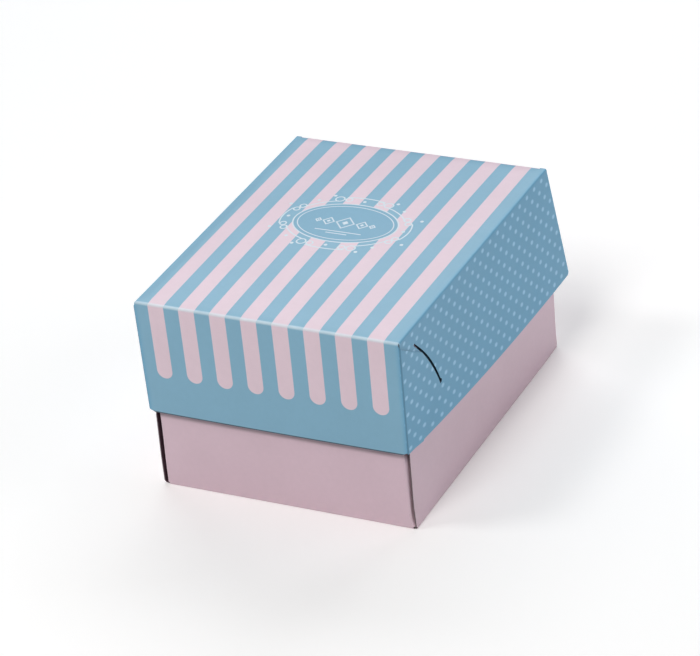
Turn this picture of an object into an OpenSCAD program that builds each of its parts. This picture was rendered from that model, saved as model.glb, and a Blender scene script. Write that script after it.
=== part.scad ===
// Dessert box: a small pastry carton folded from one sheet of board.
// A tray with four locked corners carries a hinged lid, whose skirt hangs
// over the front and both sides. The lid's front corners are locked by
// flaps that lie outside the side panels and tuck through curved slits.
// The origin is the centre of the underside, and the lid's front faces -Y.

/* [Box] */
// Width of the base across its side walls
box_w = 120; // [90:1:180]
// Depth of the base from the front wall to the back wall
box_d = 152; // [130:1:240]
// Height of the shut box
box_h = 91.5; // [80:0.5:130]
// Thickness of the board
board = 0.45; // [0.3:0.05:0.7]
// Inner radius of every fold
fold_in = 0.35; // [0.2:0.05:0.8]
// Gap between layers of board that lie on each other
play = 0.1; // [0.05:0.05:0.2]
// Gap between the tops of the walls and the shut lid
lid_gap = 0.3; // [0.2:0.05:1]

/* [Lid] */
// Height of the lid's skirt
skirt = 53; // [46:0.5:60]
// Room between the base's side walls and the lid's lock
side_slack = 0.7; // [0.6:0.1:2]
// Room between the base's front wall and the lid's front panel
front_slack = 1.05; // [0.6:0.05:2]
// How far the free rear corners of the lid's sides spring out
flare = 6.3; // [0:0.1:9]
// How far the locked front corners draw in at the rim
draw_in = 0.9; // [0:0.1:0.9]
// How far the free rear edges of the lid's sides slope back
rear_rake = 0.5; // [0:0.5:4]
// Radius of the free rear corners of the lid's sides
rear_corner = 1.5; // [0.5:0.5:4]
// Width and height of the nip at each lower corner of the front panel
rim_nip_w = 3; // [0:0.5:5]
rim_nip_h = 1.5; // [0:0.5:3]

/* [Lid lock] */
// Distance of the slit's upper end from the front corner
lock_s = 13.7; // [11:0.1:18]
// Distance of the slit's upper end below the top
lock_h = 7.2; // [5:0.1:10]
// Slope of the slit
lock_tilt = 58.5; // [50:0.5:65]
// Length of the slit
lock_len = 32.5; // [28:0.5:36]
// Bow of the slit
lock_bow = 2.1; // [1:0.1:4]
// Length of the slit that the ear leaves free above it
lock_free = 8; // [4:0.1:12]
// Reach of the ear behind the slit
lock_ear = 12; // [6:0.5:16]
// Drop of the flap's top edge below the lid's top at the corner
flap_drop = 3; // [2:0.5:6]
// Length of the flap along the rim
flap_foot = 12; // [9:0.5:20]

/* [Base lock] */
// Distance of the slit's upper end from the corner
tray_lock_s = 36; // [30:0.5:40]
// Distance of the slit's upper end below the top
tray_lock_h = 15; // [12:0.5:20]
// Slope of the slit
tray_lock_tilt = 80; // [70:1:90]
// Length of the slit
tray_lock_len = 30; // [24:0.5:32]
// Bow of the slit
tray_lock_bow = 2.1; // [1:0.1:4]
// Reach of the ear beyond the slit
tray_lock_ear = 11; // [6:0.5:14]
// Drop of the corner flap's top edge at the corner
tray_flap_drop = 3; // [1:0.5:8]
// Rise of the corner flap's lower edge at the corner, and at its far end
tray_flap_rise = 1; // [0.5:0.5:4]
tray_flap_end = 12; // [6:0.5:24]
// Length of the corner flap along its lower edge
tray_flap_foot = 32; // [24:0.5:36]

/* [Base walls] */
// How far the side walls' front and back edges slope away from the corner
wall_rake = 5.5; // [0:0.5:8]
// Gap between those edges and the corner at the foot
wall_foot = 0.2; // [0.1:0.1:1]

/* [Hinge] */
// Radius of the bead of board that the hinge crease bends about
bead_r = 0.4; // [0.3:0.05:0.6]
// Height of the crease strip below the hinge axis
crease_leg = 0.9; // [0.8:0.1:2]

/* [Hidden] */
$fn = 48;

pink = "#D9BFCB";
blue = "#7FB6CC";

fold_r = board + fold_in;
base_x = box_w / 2;
base_y = box_d / 2;
wall_top = box_h - board - lid_gap;
wall_half = base_x - board - play - fold_r;
lid_x = base_x + side_slack + 2 * board + play;
lid_y = base_y + front_slack + board;
side_len = lid_y + base_y;
hinge_y = base_y - bead_r;
hinge_z = box_h - bead_r;
leaf = bead_r + play;
ramp = board + play;
outer_layer = play + board / 2;
inner_layer = -board - outer_layer;
overrun = 1;
fold_steps = 5;
span_steps = 5;
slit_steps = 10;
cap_steps = 6;
foot_steps = 5;
side_steps = 18;
side_rows = 7;
// Part of a quarter turn that the lid's side folds leave to the panels below them
fold_share = 0.09;
// The ear's root inside its flap, and its blunt ends, in ramps
root_shares = [4, 2];
// Skin that the ear's root keeps from its flap's faces, in boards
root_skin_share = 0.1;

lid_lock = [lock_s, lock_h, lock_tilt, lock_len, lock_bow];
tray_lock = [tray_lock_s, tray_lock_h, tray_lock_tilt, tray_lock_len, tray_lock_bow];

function mix(from, to, share) = from + (to - from) * share;

// Height of a slit's arc above its chord
function bow_at(lock, along) =
    let (r = (lock[3] * lock[3] / 4 + lock[4] * lock[4]) / (2 * lock[4]), run = along - lock[3] / 2)
    sqrt(r * r - run * run) - (r - lock[4]);

// A place by a slit, as [distance from the corner, depth below the top]
function by_slit(lock, along, beyond) =
    let (rise = bow_at(lock, along) + beyond)
    [lock[0] + along * cos(lock[2]) + rise * sin(lock[2]),
     lock[1] + along * sin(lock[2]) - rise * cos(lock[2])];

// How far the rim of the lid's side stands out, s behind the front corner
function spring_out(s) =
    let (rest = 1 - s / side_len)
    flare * (1 - rest * rest) - draw_in * rest * rest * rest * rest;

function lean(s) = asin(spring_out(s) / (skirt - fold_r));

// A point on the lid's right side, h below the top and out beyond its printed face
function on_lid(s, h, out) = [
    lid_x - fold_r + (fold_r + out) * cos(lean(s)) + (h - fold_r) * sin(lean(s)),
    s - lid_y,
    box_h - fold_r + (fold_r + out) * sin(lean(s)) - (h - fold_r) * cos(lean(s))
];

// A point on the base's right wall, s behind the front corner
function on_tray(s, h, out) = [base_x + out, s - base_y, box_h - h];

// Closed sheet between an outer and an inner grid of points. Rows run down and columns run back.
module sheet(faces_out, faces_in) {
    rows = len(faces_out);
    cols = len(faces_out[0]);
    back = rows * cols;
    points = [for (grid = [faces_out, faces_in]) for (row = grid) for (p = row) p];
    skin = [
        for (r = [0 : rows - 2]) for (c = [0 : cols - 2])
        let (a = r * cols + c, b = a + 1, d = a + cols, e = d + 1)
        each [[a, b, e], [a, e, d], [back + a, back + e, back + b], [back + a, back + d, back + e]]
    ];
    ends = [
        for (c = [0 : cols - 2])
        let (a = c, b = c + 1, d = (rows - 1) * cols + c, e = d + 1)
        each [[a, back + a, back + b], [a, back + b, b], [d, e, back + e], [d, back + e, back + d]]
    ];
    sides = [
        for (r = [0 : rows - 2])
        let (a = r * cols, b = a + cols, d = a + cols - 1, e = d + cols)
        each [[a, b, back + b], [a, back + b, back + a], [d, back + d, back + e], [d, back + e, e]]
    ];
    polyhedron(points, concat(skin, ends, sides));
}

// Flat board whose outline lies in the XZ plane, its printed face at y and facing -Y
module upright(y, outline) {
    translate([0, y + board, 0]) rotate([90, 0, 0]) linear_extrude(board) polygon(outline);
}

// Stands a flat shape up in the YZ plane: its X runs back and its Y up, and it grows towards +X
module stand_sideways(x, y, z) {
    translate([x, y, z]) rotate([90, 0, 90]) children();
}

// Sector of a fold's ring, pulled out along the fold
module fold_strip(length, from, turn) {
    far = 2 * fold_r;
    sides = [from, from + turn / 2, from + turn];
    linear_extrude(length, center = true) intersection() {
        difference() {
            circle(fold_r);
            circle(fold_in);
        }
        polygon([[0, 0], for (side = sides) far * [cos(side), sin(side)]]);
    }
}

// Fold along X. The direction from is measured from +Y towards +Z.
module fold_along_x(length, y, z, from, turn = 90) {
    translate([0, y, z]) rotate([90, 0, 90]) fold_strip(length, from, turn);
}

// Fold along Y. The direction from is measured from +X towards +Z.
module fold_along_y(length, x, z, from, turn = 90) {
    translate([x, 0, z]) rotate([90, 0, 0]) fold_strip(length, from, turn);
}

// Outline of a curved slit with round ends, in a plane where X runs back and Y up from the corner's top
module slit_outline(lock) {
    function edge(along, beyond) =
        let (place = by_slit(lock, along, beyond)) [place[0], -place[1]];
    function cap(centre, side) = [
        for (k = [1 : cap_steps - 1])
        let (turn = 180 * k / cap_steps)
        edge(centre + side * ramp * sin(turn), side * ramp * cos(turn))
    ];
    polygon([
        for (k = [0 : slit_steps]) edge(lock[3] * k / slit_steps, ramp),
        each cap(lock[3], 1),
        for (k = [slit_steps : -1 : 0]) edge(lock[3] * k / slit_steps, -ramp),
        each cap(0, -1)
    ]);
}

// Rounded ear that leaves its flap in the layer start, dips through the slit and lies in the layer end
module ear(lock, first, reach, start, end, on_panel) {
    half = board * (0.5 - root_skin_share);
    middle = (first + lock[3]) / 2;
    swing = (lock[3] - first) / 2 - play;
    function bands(turn) =
        let (blunt = ramp * root_shares[1], tip = blunt + (reach - blunt) * sin(turn))
        [[-ramp * root_shares[0], start], [-ramp, start], [ramp, end],
         for (k = [1 : span_steps]) [mix(ramp, tip, k / span_steps), end]];
    function grid(side) = [
        for (k = [0 : slit_steps])
        let (turn = 180 * k / slit_steps, along = middle - swing * cos(turn))
        [for (band = bands(turn)) let (place = by_slit(lock, along, band[0]))
            on_panel(place[0], place[1], band[1] + side * half)]
    ];
    sheet(grid(1), grid(-1));
}

module base_bottom() {
    run_x = 2 * wall_half;
    run_y = box_d - 2 * fold_r;
    color(pink) {
        linear_extrude(board) square([box_w - 2 * fold_r, run_y], center = true);
        fold_along_x(run_x, fold_r - base_y, fold_r, 180);
        fold_along_x(run_x, base_y - fold_r, fold_r, 270);
        fold_along_y(run_y, base_x - fold_r, fold_r, 270);
        fold_along_y(run_y, fold_r - base_x, fold_r, 180);
    }
}

module base_front_wall() {
    color(pink) upright(-base_y, [
        [-wall_half, fold_r], [wall_half, fold_r], [wall_half, wall_top], [-wall_half, wall_top]
    ]);
}

module base_back_wall() {
    top = hinge_z - crease_leg;
    color(pink) upright(base_y - board, [
        [-wall_half, fold_r], [wall_half, fold_r], [wall_half, top], [-wall_half, top]
    ]);
}

// Side wall with free, raked edges and a slit for the ear of each corner flap
module base_right_wall() {
    foot = base_y - fold_r;
    corner = base_y - wall_foot;
    color(pink) difference() {
        stand_sideways(base_x - board, 0, 0) linear_extrude(board) polygon([
            [-foot, fold_r], [foot, fold_r], [corner, 2 * fold_r - wall_foot],
            [corner - wall_rake, wall_top], [wall_rake - corner, wall_top], [-corner, 2 * fold_r - wall_foot]
        ]);
        for (end = [0, 1]) mirror([0, end, 0])
            stand_sideways(base_x - board - overrun, -base_y, box_h)
                linear_extrude(board + 2 * overrun) slit_outline(tray_lock);
    }
}

module base_left_wall() {
    mirror([1, 0, 0]) base_right_wall();
}

// Flap of the front right corner: folded back inside the side wall, with its ear out through the slit
module base_corner_flap() {
    low = fold_r + tray_flap_rise;
    high = box_h - tray_flap_drop;
    inside = base_x - board - play;
    color(pink) {
        translate([inside - fold_r, fold_r - base_y, (low + high) / 2]) fold_strip(high - low, 270, 90);
        stand_sideways(inside - board, -base_y, box_h) linear_extrude(board) polygon([
            [fold_r, low - box_h], [fold_r, high - box_h],
            for (k = [0 : slit_steps])
            let (place = by_slit(tray_lock, tray_lock_len * k / slit_steps, -ramp)) [place[0], -place[1]],
            [tray_flap_foot, tray_flap_end - box_h]
        ]);
        ear(tray_lock, 0, tray_lock_ear, inner_layer, outer_layer, function(s, h, out) on_tray(s, h, out));
    }
}

module base_front_right_flap() {
    base_corner_flap();
}

module base_front_left_flap() {
    mirror([1, 0, 0]) base_corner_flap();
}

module base_back_right_flap() {
    mirror([0, 1, 0]) base_corner_flap();
}

module base_back_left_flap() {
    mirror([1, 0, 0]) mirror([0, 1, 0]) base_corner_flap();
}

// Crease between the back wall and the lid: a bead on the hinge axis over a strip of the wall
module hinge_crease() {
    length = 2 * wall_half;
    color(pink) {
        translate([0, hinge_y, hinge_z]) rotate([0, 90, 0]) cylinder(h = length, r = bead_r, center = true);
        translate([-wall_half, base_y - board, hinge_z - crease_leg]) cube([length, board, crease_leg]);
    }
}

module lid_top() {
    plate_x = lid_x - fold_r;
    notch_x = wall_half + play;
    front = fold_r - lid_y;
    side_run = base_y - front;
    side_from = 90 * fold_share;
    color(blue) {
        translate([0, 0, box_h - board]) linear_extrude(board) polygon([
            [-plate_x, front], [plate_x, front], [plate_x, base_y], [notch_x, base_y],
            [notch_x, hinge_y - leaf], [-notch_x, hinge_y - leaf], [-notch_x, base_y], [-plate_x, base_y]
        ]);
        fold_along_x(2 * corner_x(fold_r), front, box_h - fold_r, 90);
        translate([0, (front + base_y) / 2, 0]) {
            fold_along_y(side_run, plate_x, box_h - fold_r, side_from, 90 - side_from);
            fold_along_y(side_run, -plate_x, box_h - fold_r, 90, 90 - side_from);
        }
    }
}

// Half width of the front panel, h below the top: its flap's fold begins there
function corner_x(h) = on_lid(fold_r, h, play + board)[0] - fold_r;

module lid_front() {
    rim = box_h - skirt;
    color(blue) upright(-lid_y, [
        for (side = [1, -1], spot = side > 0 ? [0 : 2] : [2 : -1 : 0])
        let (x = [corner_x(fold_r), corner_x(skirt - rim_nip_h), corner_x(skirt) - rim_nip_w],
             z = [box_h - fold_r, rim + rim_nip_h, rim])
        [side * x[spot], z[spot]]
    ]);
}

// Side panel: held by the lock in front, and free to spring out behind
module lid_right_side() {
    start = fold_r + play;
    function grid(out) = [
        for (row = [0 : side_rows])
        let (h = mix(fold_r, skirt, row / side_rows), end = side_len + rear_rake * h / skirt)
        [for (k = [0 : side_steps]) on_lid(mix(start, end, k / side_steps), h, out)]
    ];
    tip = on_lid(side_len + rear_rake, skirt, 0);
    color(blue) difference() {
        sheet(grid(0), grid(-board));
        stand_sideways(base_x, -lid_y, box_h) linear_extrude(lid_x - base_x + flare) slit_outline(lid_lock);
        stand_sideways(tip[0] - flare, tip[1] - rear_corner, tip[2]) linear_extrude(2 * flare) difference() {
            translate([0, -overrun]) square(rear_corner + overrun);
            translate([0, rear_corner]) circle(rear_corner);
        }
    }
}

module lid_left_side() {
    mirror([1, 0, 0]) lid_right_side();
}

// Corner flap of the front panel: it turns the corner outside the side panel and locks with its ear
module lid_right_flap() {
    slit_end = by_slit(lid_lock, lock_len, -ramp);
    edge = [
        for (k = [0 : slit_steps]) by_slit(lid_lock, mix(lock_free, lock_len, k / slit_steps), -ramp),
        for (k = [1 : foot_steps]) mix(slit_end, [flap_foot, skirt], k / foot_steps)
    ];
    rows = len(edge) - 1;
    function turned(h, r) =
        let (centre = on_lid(fold_r, h, play + board) - [fold_r, 0, 0])
        [for (k = [0 : fold_steps]) centre + r * [sin(90 * k / fold_steps), -cos(90 * k / fold_steps), 0]];
    function grid(r, out) = [
        for (row = [0 : rows])
        let (h = mix(flap_drop, skirt - rim_nip_h, row / rows))
        concat(turned(h, r), [for (k = [1 : span_steps])
            on_lid(mix(fold_r, edge[row][0], k / span_steps), mix(h, edge[row][1], k / span_steps), out)])
    ];
    color(blue) {
        sheet(grid(fold_r, play + board), grid(fold_in, play));
        ear(lid_lock, lock_free, lock_ear, outer_layer, inner_layer, function(s, h, out) on_lid(s, h, out));
    }
}

module lid_left_flap() {
    mirror([1, 0, 0]) lid_right_flap();
}

base_bottom();
base_front_wall();
base_back_wall();
base_left_wall();
base_right_wall();
base_front_left_flap();
base_front_right_flap();
base_back_left_flap();
base_back_right_flap();
hinge_crease();
lid_top();
lid_front();
lid_left_side();
lid_right_side();
lid_left_flap();
lid_right_flap();
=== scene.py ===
"""Looks of the dessert box: a pastry carton folded from one sheet of printed, coated board.

Each panel is cut flat, with its print mapped on it in millimetres, and is then laid in its place
on the folded box. Lengths are in metres, in the frame of the CAD part.
"""
import math

import bpy
from mathutils import Matrix, Vector


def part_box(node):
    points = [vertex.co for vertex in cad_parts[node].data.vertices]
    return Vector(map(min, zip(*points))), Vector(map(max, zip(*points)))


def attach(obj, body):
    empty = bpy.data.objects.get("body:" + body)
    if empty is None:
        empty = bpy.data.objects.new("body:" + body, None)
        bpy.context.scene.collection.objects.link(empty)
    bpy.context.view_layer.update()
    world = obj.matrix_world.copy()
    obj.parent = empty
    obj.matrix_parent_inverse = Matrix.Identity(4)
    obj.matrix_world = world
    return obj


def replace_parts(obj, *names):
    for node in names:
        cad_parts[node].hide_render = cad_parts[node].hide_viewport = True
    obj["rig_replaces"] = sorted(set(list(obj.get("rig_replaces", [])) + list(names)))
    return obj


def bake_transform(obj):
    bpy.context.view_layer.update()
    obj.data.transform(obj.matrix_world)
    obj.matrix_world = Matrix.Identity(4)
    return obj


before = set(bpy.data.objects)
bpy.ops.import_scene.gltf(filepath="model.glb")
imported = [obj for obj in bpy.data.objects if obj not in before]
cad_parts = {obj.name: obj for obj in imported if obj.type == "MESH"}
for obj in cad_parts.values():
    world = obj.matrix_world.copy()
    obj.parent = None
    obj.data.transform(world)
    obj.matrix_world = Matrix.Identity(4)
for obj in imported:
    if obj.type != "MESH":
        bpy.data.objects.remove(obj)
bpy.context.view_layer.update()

MM = 0.001

# The board: its thickness, the radius inside a fold and outside it, the gap between two layers,
# and the half width of a slit, across which a flap changes from one layer to the other
BOARD = 0.45 * MM
FOLD_IN = 0.35 * MM
FOLD_R = BOARD + FOLD_IN
PLAY = 0.1 * MM
RAMP = BOARD + PLAY

# The folded box, from the frame
BASE_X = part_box("base_right_wall")[1].x
BASE_Y = -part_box("base_front_wall")[0].y
WALL_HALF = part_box("base_front_wall")[1].x
WALL_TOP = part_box("base_front_wall")[1].z
BACK_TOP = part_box("base_back_wall")[1].z
BOX_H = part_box("lid_top")[1].z
LID_Y = -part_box("lid_front")[0].y
SKIRT = BOX_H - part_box("lid_front")[0].z
RIM_Z = BOX_H - SKIRT
SIDE_SLACK = 0.7 * MM
LID_X = BASE_X + SIDE_SLACK + 2 * BOARD + PLAY
SIDE_LEN = LID_Y + BASE_Y

# The hinge's bead, its axis, and the notch in the top beside it
BEAD_R = 0.4 * MM
HINGE_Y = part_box("hinge_crease")[1].y - BEAD_R
NOTCH_X = WALL_HALF + PLAY
NOTCH_Y = HINGE_Y - BEAD_R - PLAY

# The lid's sides: how far they spring out behind, draw in at the lock and slope back, and how
# their corners are rounded and the front's are nipped off
FLARE = 6.3 * MM
DRAW_IN = 0.9 * MM
REAR_RAKE = 0.5 * MM
REAR_CORNER = 1.5 * MM
RIM_NIP_W = 2.2 * MM
RIM_NIP_H = 1.1 * MM

# A lock is a slit and the ear that goes through it. The slit starts s behind the front corner and
# h below the top, slopes by tilt degrees, and has a length and a bow. The ear spans a part of it,
# reaches beyond it in its middle and at its ends, and widens upwards by hook once through.
LID_LOCK = {
    "s": 14.0 * MM, "h": 8.2 * MM, "tilt": 58.5, "length": 32.5 * MM, "bow": 2.1 * MM,
    "span": (8 * MM, 32.35 * MM), "reach": 12 * MM, "ends": 4 * RAMP, "hook": 7 * MM}
TRAY_LOCK = {
    "s": 36 * MM, "h": 15 * MM, "tilt": 80, "length": 30 * MM, "bow": 2.1 * MM,
    "span": (PLAY, 30 * MM - PLAY), "reach": 11 * MM, "ends": 2 * RAMP, "hook": 0}

# The lid's corner flaps: how far below the top their fold starts at the front and at the side,
# and how far back their lower edge goes
FOLD_DROP = 1 * MM
FLAP_DROP = 3 * MM
FLAP_FOOT = 12 * MM

# The base's corner flaps: how far below the top they start, how far up their lower edge is at the
# fold and at its end, and how far back it goes; and the side walls' raked ends
TRAY_DROP = 3 * MM
TRAY_RISE = 0.4 * MM
TRAY_END = 12 * MM
TRAY_FOOT = 32 * MM
WALL_RAKE = 5.5 * MM
WALL_FOOT = 0.2 * MM

# How the slit gapes behind the flap, and the share of its length in which the gape opens
SLIT_GAPE = 0.6 * MM
GAPE_RUN = 0.625
# The punch at the slit's lower end: its radius, and its place along the slit and beyond it
SLIT_HOLE = 1.0 * MM
HOLE_ALONG = LID_LOCK["length"] - 0.3 * RAMP
HOLE_BEYOND = 1.3 * RAMP
# The hollow by which the lid's ear dips just behind the slit: how deep it is, how far beyond the
# slit and how wide to each side
EAR_DIP = 0.5 * MM
DIP_AT = 2 * RAMP
DIP_HALF = 4 * RAMP
# How much an ear widens downwards, as a share of its hook
EAR_TOE = 0.3

# How far the flat panels bow out of their planes, and the height and run of the top's rounded
# shoulders
TOP_CROWN = 1.5 * MM
SHOULDER = 0.35 * MM
SHOULDER_RUN = 4.5 * MM
FRONT_BOW = 0.4 * MM
WALL_BOW = 0.35 * MM
# How far the front leans in at its fold and out at its rim, and how far back that reaches
LEAN_IN = 1.1 * MM
LEAN_OUT = 0.6 * MM
LEAN_RUN = 28 * MM

# How far the base's front corner folds stand in from its side walls, right (1) and left (-1): at
# the foot, from a height up, and that height. The back corners are like them, turned about.
CORNER_IN = {1: (0.1 * MM, 1.3 * MM, 6 * MM), -1: (0.25 * MM, 1.85 * MM, 38 * MM)}
CORNER_RUN = 28 * MM

# How far the side walls' free edges curl out at the foot, from a height up, and that height, for
# each side (1 is right) and end (1 is back). Under the lid the curl fades out.
EDGE_CURL = {
    (1, -1): (0, -0.5 * MM, 15 * MM), (-1, -1): (1.0 * MM, 1.3 * MM, 15 * MM),
    (1, 1): (-0.6 * MM, 1.0 * MM, 38 * MM), (-1, 1): (0, 0, 15 * MM)}
CURL_RUN = 15 * MM
CURL_FADE = 2.5 * MM

# How far the base's ends bulge out by the lid's rim, and lean in at their tops
END_OUT = 0.5 * MM
END_IN = 0.5 * MM

# Where board lies hidden in a narrow gap and is painted as shade: round the lid's slit, across and
# up a side, and how far in from the front corners on the base's bottom and on its left wall
SLIT_SHADE_ZONE = ((8 * MM, 50 * MM), (-45 * MM, -4 * MM))
BOTTOM_SHADE_ZONE = 5 * MM
WALL_SHADE_ZONE = 10 * MM

# Spacing of a panel's mesh, in its middle and by its edges, and steps across a fold
MESH_STEP = 3 * MM
EDGE_STEP = 0.8 * MM
FOLD_STEPS = 8
# Steps of a corner flap: across its body, its slit and its ear, and along its slit and its foot
BODY_STEPS = 8
CROSS_STEPS = 6
EAR_STEPS = 6
FLAP_ROWS = 20
FOOT_ROWS = 6
# Steps of the cut outlines: along a slit, round its ends, round the punch and round a corner
SLIT_STEPS = 20
CAP_STEPS = 8
HOLE_STEPS = 16
ROUND_STEPS = 6
# How far a die reaches past the board's faces, and how near to a face counts as on it, as a share
# of the board's thickness
DIE_REACH = 4 * BOARD
ON_FACE = 0.001
SMOOTH_ANGLE = math.radians(32)

# The print, in millimetres on the sheet: the top and the front count up from the fold between
# them. The stripes' ends are round, and the dots' half sizes are across and up.
STRIPE_PITCH = 14.65
STRIPE_WIDTH = 7.5
STRIPE_COUNT = 8
STRIPE_DROP = 35.1
DOT_PITCH = (7.87, 7.94)
DOT_HALF = (1.25, 0.9)
DOT_SOFT = 0.45
SIDE_SHIFT = (-1.2 * MM, -1.37 * MM)
FLAP_SHIFT = (-76.87 * MM, -1.37 * MM)
PRINT_EDGE = 0.08

# Marks as bands: where each lies, its half width and how softly it ends. They are crease wear with
# a painted highlight on the front fold, painted shade along the corner's crease, a painted shadow
# on the base's front under the lid's rim, and painted shade on its corner flaps by the rim.
FOLD_WEAR_AND_HIGHLIGHT = (0.3, 0.9, 0.6)
CORNER_CREASE_SHADE = (FLAP_SHIFT[0] / MM, 0.5, 0.4)
RIM_SHADOW_BAND = (36.8, 0.9, 1.3)
FLAP_SHADE_BAND = (38, 3.5, 3.5)
# Their patches: the scale of these, how far they strengthen a mark, and its least strength
FOLD_WEAR_AND_HIGHLIGHT_PATCHES = (90, 0.4, 0.4)
RIM_SHADOW_PATCHES = (60, 0.35, 0.4)
# How dark the painted shade on the base's corner flaps is
FLAP_SHADE_STRENGTH = 0.9
# The print of the base's corner flaps starts this far across, and their painted shade a little
# further
FLAP_PRINT = 100
FLAP_SHADE_FROM = FLAP_PRINT + 0.5
# The painted shadow line on the lid's rim, and where the top's blue turns, as painted shade, into
# the sides' shaded blue before the side folds
RIM_SHADOW_LINE = 0.5
RIM_SHADOW_SOFT = 0.25
SIDE_SHADE_AT = 61.0
SIDE_SHADE_SOFT = 1.6

# The label, in millimetres: its place, the oval's half sizes and the width of its lines
LABEL_AT = (-2.2, 83.3)
LABEL_HALF = (23.9, 15.9)
PEN = 0.62
INNER_LINE = (-2.0, 0.45)
# Its lace, in one quarter of it. Each scroll follows the oval at a distance between two angles,
# and each curl has its place and radius.
SCROLLS = ((3.0, 28, 66), (6.0, -1, 20), (6.0, 74, 91))
CURLS = ((11.8, 19.1, 2.0), (25.1, 9.6, 1.5), (26.9, 6.6, 1.4), (7.6, 19.5, 1.5))
PEARLS = ((0.0, 19.3), (27.6, 0.0), (20.6, 16.1), (15.2, 21.4), (31.6, 10.4))
PEARL_RADIUS = 0.8
# Each lozenge's place along the label, and its half width and height
LOZENGES = ((0.0, 4.2, 4.6), (8.0, 2.6, 2.9), (12.9, 1.3, 1.4))
LOZENGE_PEN = 0.75
LOZENGE_HEART = 0.35
# The two rules below them: how far down, and their half length
RULES = ((7.6, 11.0), (9.4, 5.0))
RULE_PEN = 0.55

# The coated face: the scale and share of its fine and broad mottle, and the ranges of its tone
# and roughness
FINE_MOTTLE = (420, 0.35)
BROAD_MOTTLE = (38, 0.65)
COAT_TONE = (0.92, 1.065)
COAT_ROUGH = (0.34, 0.5)
COAT_SPECULAR = 0.36
CLEAR_COAT = 0.12
CLEAR_COAT_ROUGH = 0.24


def deselect_all():
    if bpy.context.object and bpy.context.object.mode != "OBJECT":
        bpy.ops.object.mode_set(mode="OBJECT")
    bpy.ops.object.select_all(action="DESELECT")


def make_active(piece):
    deselect_all()
    piece.select_set(True)
    bpy.context.view_layer.objects.active = piece


def linear(red, green, blue):
    """A colour given as it looks on screen, 0 to 255, as the shader wants it."""
    def one(value):
        share = value / 255
        return share / 12.92 if share <= 0.04045 else ((share + 0.055) / 1.055) ** 2.4
    return (one(red), one(green), one(blue), 1)


# Materials


class Finish:
    """A material's nodes, made one by one."""

    def __init__(self, name):
        self.material = bpy.data.materials.new(name)
        self.material.use_nodes = True
        self.nodes = self.material.node_tree.nodes
        self.links = self.material.node_tree.links
        self.shader = self.nodes["Principled BSDF"]

    def node(self, kind, **settings):
        made = self.nodes.new(kind)
        for name, value in settings.items():
            setattr(made, name, value)
        return made

    def feed(self, socket, value):
        if isinstance(value, bpy.types.NodeSocket):
            self.links.new(value, socket)
        else:
            socket.default_value = value

    def surface(self, colour, roughness, specular=0.5):
        self.feed(self.shader.inputs["Base Color"], colour)
        self.feed(self.shader.inputs["Roughness"], roughness)
        self.shader.inputs["Specular IOR Level"].default_value = specular

    def math(self, operation, *values):
        made = self.node("ShaderNodeMath", operation=operation)
        for socket, value in zip(made.inputs, values):
            self.feed(socket, value)
        return made.outputs[0]

    def mix(self, share, low, high, blend="MIX"):
        made = self.node("ShaderNodeMix", data_type="RGBA", blend_type=blend)
        self.feed(made.inputs["Factor"], share)
        self.feed(made.inputs["A"], low)
        self.feed(made.inputs["B"], high)
        return made.outputs["Result"]

    def spread(self, value, low, high):
        """A value from 0 to 1, brought to run from low to high."""
        made = self.node("ShaderNodeMapRange")
        self.feed(made.inputs["Value"], value)
        made.inputs["To Min"].default_value = low
        made.inputs["To Max"].default_value = high
        return made.outputs["Result"]

    def step(self, value, edge, soft=PRINT_EDGE):
        """1 where value is under edge and 0 past it, with a soft step between."""
        made = self.node("ShaderNodeMapRange", interpolation_type="SMOOTHSTEP")
        self.feed(made.inputs["Value"], value)
        made.inputs["From Min"].default_value = edge + soft
        made.inputs["From Max"].default_value = edge - soft
        return made.outputs["Result"]

    def band(self, value, middle, half, soft=PRINT_EDGE):
        """1 where value is within half of a middle, and 0 past that."""
        away = self.math("ABSOLUTE", self.math("SUBTRACT", value, middle))
        return self.step(away, half, soft)

    def distance(self, across, along):
        square_across = self.math("MULTIPLY", across, across)
        square_along = self.math("MULTIPLY", along, along)
        return self.math("SQRT", self.math("ADD", square_across, square_along))

    def print_place(self):
        """The place on the sheet, in millimetres: across it, and up it."""
        parts = self.node("ShaderNodeSeparateXYZ")
        sheet = self.node("ShaderNodeUVMap", uv_map="print")
        self.links.new(sheet.outputs["UV"], parts.inputs[0])
        return parts.outputs["X"], parts.outputs["Y"]

    def noise(self, scale, detail=2.0, stretch=(1, 1, 1)):
        spot = self.node("ShaderNodeTexCoord").outputs["Object"]
        place = self.node("ShaderNodeMapping")
        self.links.new(spot, place.inputs["Vector"])
        place.inputs["Scale"].default_value = stretch
        made = self.node("ShaderNodeTexNoise")
        self.links.new(place.outputs["Vector"], made.inputs["Vector"])
        made.inputs["Scale"].default_value = scale
        made.inputs["Detail"].default_value = detail
        return made.outputs["Fac"]

    def patchy(self, mask, scale, swing, least):
        """A mask that is least strong between its patches, and stronger by up to swing in them."""
        strength = self.math("MULTIPLY_ADD", self.noise(scale, 3), swing, least)
        return self.math("MULTIPLY", mask, strength)

    def bump(self, height, depth, strength=1.0):
        made = self.node("ShaderNodeBump")
        made.inputs["Strength"].default_value = strength
        made.inputs["Distance"].default_value = depth
        self.links.new(height, made.inputs["Height"])
        self.links.new(made.outputs["Normal"], self.shader.inputs["Normal"])


def nearest(finish, value, pitch, shift=0.0):
    """Distance from the nearest of a row of lines a pitch apart, half a pitch off zero."""
    turns = finish.math("FRACT", finish.math("MULTIPLY_ADD", value, 1 / pitch, shift))
    return finish.math("MULTIPLY", finish.math("SUBTRACT", turns, 0.5), pitch)


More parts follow.
